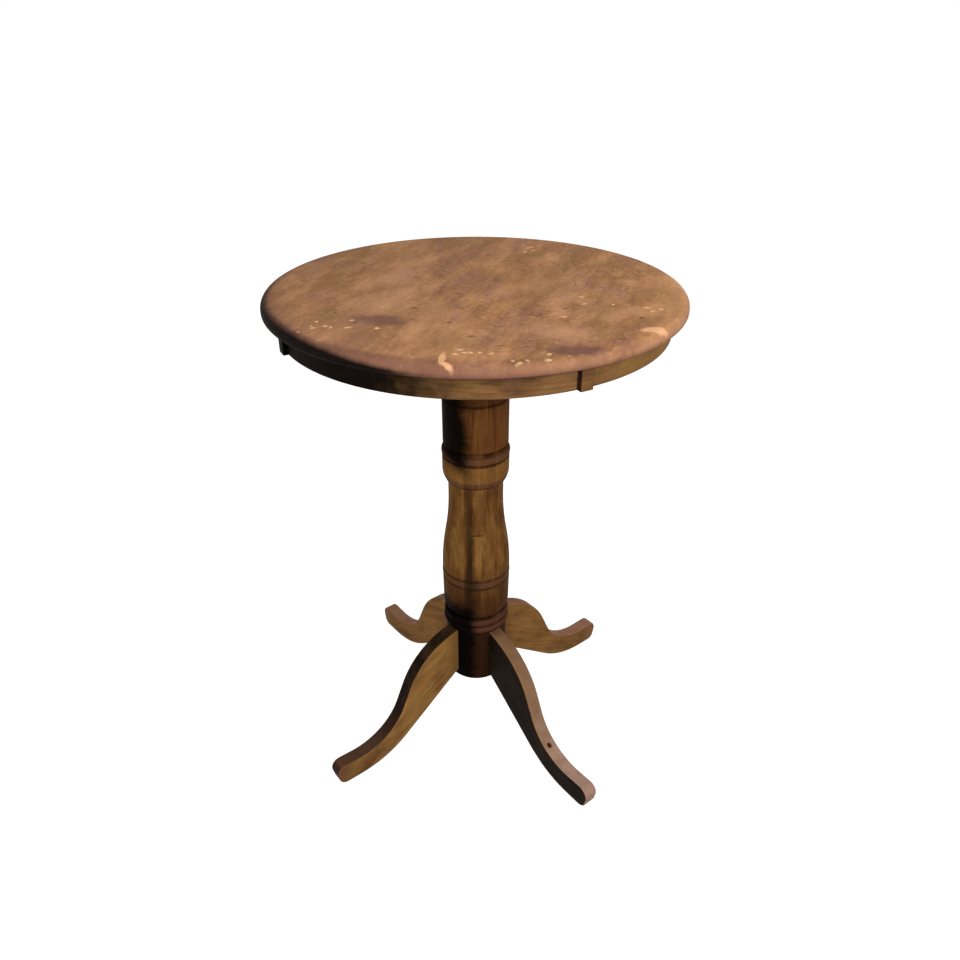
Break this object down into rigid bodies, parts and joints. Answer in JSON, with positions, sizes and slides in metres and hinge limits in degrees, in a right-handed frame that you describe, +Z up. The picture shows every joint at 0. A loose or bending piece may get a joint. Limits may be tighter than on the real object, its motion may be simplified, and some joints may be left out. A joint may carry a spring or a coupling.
{
  "type": "cocktail table",
  "caption": "Bar-height round wooden pedestal table: plank top over a shallow apron, turned vase column and splayed S-curved legs.",
  "frame": {"origin": "on the floor under the column axis", "axes": "+Z up, top boards run along Y, front is -Y"},
  "size_m": [0.762, 0.762, 1.04],
  "materials": {
    "top_wood": "satin stained, worn",
    "apron_wood": "satin stained, worn",
    "column_wood": "satin stained, worn",
    "leg_wood": "satin stained, worn",
    "plain_wood": "bare sanded",
    "zinc_steel": "zinc plated",
    "nylon": "matte"
  },
  "bodies": {
    "root": {"apron_block_front_left": "apron_wood", "apron_block_front_right": "apron_wood", "apron_block_rear_left": "apron_wood", "apron_block_rear_right": "apron_wood", "apron_block_screws": "zinc_steel", "apron_dowels": "plain_wood", "apron_segment_front": "apron_wood", "apron_segment_left": "apron_wood", "apron_segment_rear": "apron_wood", "apron_segment_right": "apron_wood", "batten_screws": "zinc_steel", "board_dowels": "plain_wood", "foot_glide_front_left": "nylon", "foot_glide_front_right": "nylon", "foot_glide_rear_left": "nylon", "foot_glide_rear_right": "nylon", "glue_block_front": "plain_wood", "glue_block_left": "plain_wood", "glue_block_rear": "plain_wood", "glue_block_right": "plain_wood", "glue_block_screws": "zinc_steel", "leg_front_left": "leg_wood", "leg_front_right": "leg_wood", "leg_hub": "column_wood", "leg_plate": "zinc_steel", "leg_plate_screws": "zinc_steel", "leg_rear_left": "leg_wood", "leg_rear_right": "leg_wood", "mounting_plate": "plain_wood", "mounting_plate_screws": "zinc_steel", "riser": "column_wood", "riser_dowels": "plain_wood", "rod_nuts": "zinc_steel", "rod_washers": "zinc_steel", "tie_rod": "zinc_steel", "top_batten_front": "plain_wood", "top_batten_rear": "plain_wood", "top_board_1": "top_wood", "top_board_2": "top_wood", "top_board_3": "top_wood", "top_board_4": "top_wood", "top_board_5": "top_wood", "top_board_6": "top_wood", "top_board_7": "top_wood", "top_board_8": "top_wood", "turned_vase": "column_wood"}
  },
  "joints": []
}
